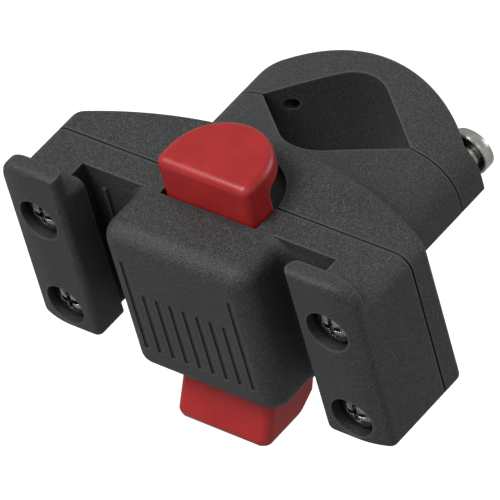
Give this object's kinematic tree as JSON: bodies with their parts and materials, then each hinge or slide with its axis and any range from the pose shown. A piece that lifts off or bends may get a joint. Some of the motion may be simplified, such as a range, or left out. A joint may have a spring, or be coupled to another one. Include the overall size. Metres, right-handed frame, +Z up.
{
  "type": "front basket mount",
  "caption": "Quick-release front basket mount: moulded housing with vertical rail slots, a sprung push-down latch and a two-piece clamp for a round stem.",
  "frame": {"origin": "on the axis of the clamped stem, level with the middle of the housing screws", "axes": "+Z up along the stem and the rails, -Y towards the basket, +X to the right seen from the front"},
  "size_m": [0.0924, 0.0711, 0.0605],
  "materials": {
    "housing_plastic": "fine moulded texture",
    "latch_plastic": "satin",
    "bright_steel": "zinc plated",
    "spring_steel": "drawn wire"
  },
  "bodies": {
    "housing": {"front_shell": "housing_plastic", "rear_shell": "housing_plastic", "housing_screws": "bright_steel", "clamp_nuts": "bright_steel", "latch_spring": "spring_steel"},
    "latch": {"release_latch": "latch_plastic"},
    "cap": {"clamp_cap": "housing_plastic", "clamp_bolts": "bright_steel"}
  },
  "joints": [
    {"name": "latch_press", "type": "slide", "parent": "housing", "child": "latch", "axis": [0, 0, -1], "range_m": [0, 0.006], "stiffness_N_per_m": 400, "springref_m": -0.004, "deforming": ["latch_spring"]},
    {"name": "cap_loosen", "type": "slide", "parent": "housing", "child": "cap", "axis": [0, 1, 0], "range_m": [0, 0.004]}
  ]
}
